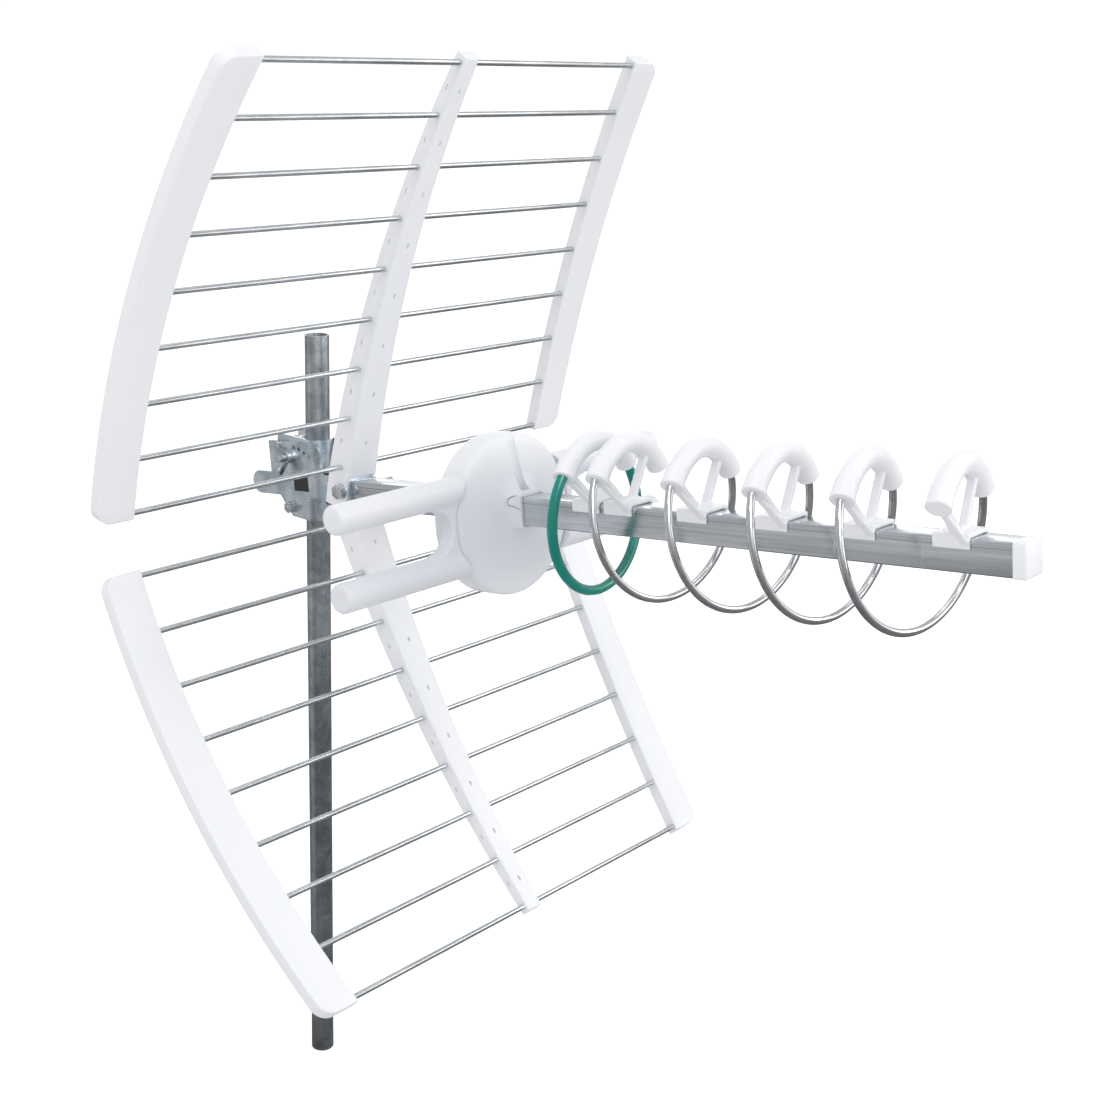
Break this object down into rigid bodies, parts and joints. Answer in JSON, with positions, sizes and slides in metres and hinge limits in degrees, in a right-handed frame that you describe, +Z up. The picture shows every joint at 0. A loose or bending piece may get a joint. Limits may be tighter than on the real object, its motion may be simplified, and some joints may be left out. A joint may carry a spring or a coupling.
{
  "type": "uhf tv antenna",
  "caption": "Rooftop antenna with a two-panel bowed rod reflector, a folded dipole and a row of bent-rod directors on a square boom, tilting on a clamp that turns about its mast.",
  "frame": {"origin": "centre of the mast's lower end", "axes": "+Z up the mast, -Y forward towards the boom's nose, +X to the right, seen from ahead of it"},
  "size_m": [0.4588, 0.6492, 0.8297],
  "materials": {
    "white_plastic": "moulded, satin",
    "aluminium_rod": "drawn, bright",
    "polished_rod": "polished",
    "green_sleeve": "glossy sleeve",
    "brushed_aluminium": "brushed",
    "black_plastic": "moulded, satin",
    "element_metal": "plain strip",
    "board": "coated board",
    "plated_metal": "nickel plated",
    "zinc_fastener": "zinc plated",
    "zinc_sheet": "zinc plated sheet",
    "galvanised_tube": "galvanised"
  },
  "bodies": {
    "mast": {"mast_tube": "galvanised_tube"},
    "clamp": {"mast_bracket": "zinc_sheet", "mast_jaw": "zinc_sheet", "tilt_bolt": "zinc_fastener", "wing_nut": "zinc_fastener", "clamp_bolt": "zinc_fastener", "clamp_nut": "zinc_fastener"},
    "antenna": {"upper_spine": "white_plastic", "lower_spine": "white_plastic", "left_upper_frame": "white_plastic", "right_upper_frame": "white_plastic", "left_lower_frame": "white_plastic", "right_lower_frame": "white_plastic", "director_clip_1": "white_plastic", "director_clip_2": "white_plastic", "director_clip_3": "white_plastic", "director_clip_4": "white_plastic", "director_clip_5": "white_plastic", "director_clip_6": "white_plastic", "dipole_front_cover": "white_plastic", "dipole_housing": "white_plastic", "boom_front_cap": "white_plastic", "upper_rod_1": "aluminium_rod", "upper_rod_2": "aluminium_rod", "upper_rod_3": "aluminium_rod", "upper_rod_4": "aluminium_rod", "upper_rod_5": "aluminium_rod", "upper_rod_6": "aluminium_rod", "upper_rod_7": "aluminium_rod", "upper_rod_8": "aluminium_rod", "upper_rod_9": "aluminium_rod", "lower_rod_1": "aluminium_rod", "lower_rod_2": "aluminium_rod", "lower_rod_3": "aluminium_rod", "lower_rod_4": "aluminium_rod", "lower_rod_5": "aluminium_rod", "lower_rod_6": "aluminium_rod", "lower_rod_7": "aluminium_rod", "lower_rod_8": "aluminium_rod", "lower_rod_9": "aluminium_rod", "director_rod_2": "polished_rod", "director_rod_3": "polished_rod", "director_rod_4": "polished_rod", "director_rod_5": "polished_rod", "sleeved_director": "green_sleeve", "boom_tube": "brushed_aluminium", "boom_rear_cap": "black_plastic", "tilt_pads": "black_plastic", "dipole_element_left": "element_metal", "dipole_element_right": "element_metal", "balun_board": "board", "antenna_socket": "plated_metal", "socket_nut": "plated_metal", "cover_screws": "plated_metal", "reflector_bolt": "zinc_fastener", "reflector_nut": "zinc_fastener", "boom_bracket": "zinc_sheet"}
  },
  "joints": [
    {"name": "mast_turn", "type": "hinge", "parent": "mast", "child": "clamp", "pos_m": [0, 0, 0.524], "axis": [0, 0, 1], "continuous": true},
    {"name": "tilt", "type": "hinge", "parent": "clamp", "child": "antenna", "pos_m": [0, 0.0173, 0.524], "axis": [1, 0, 0], "range_deg": [-8, 12]}
  ]
}
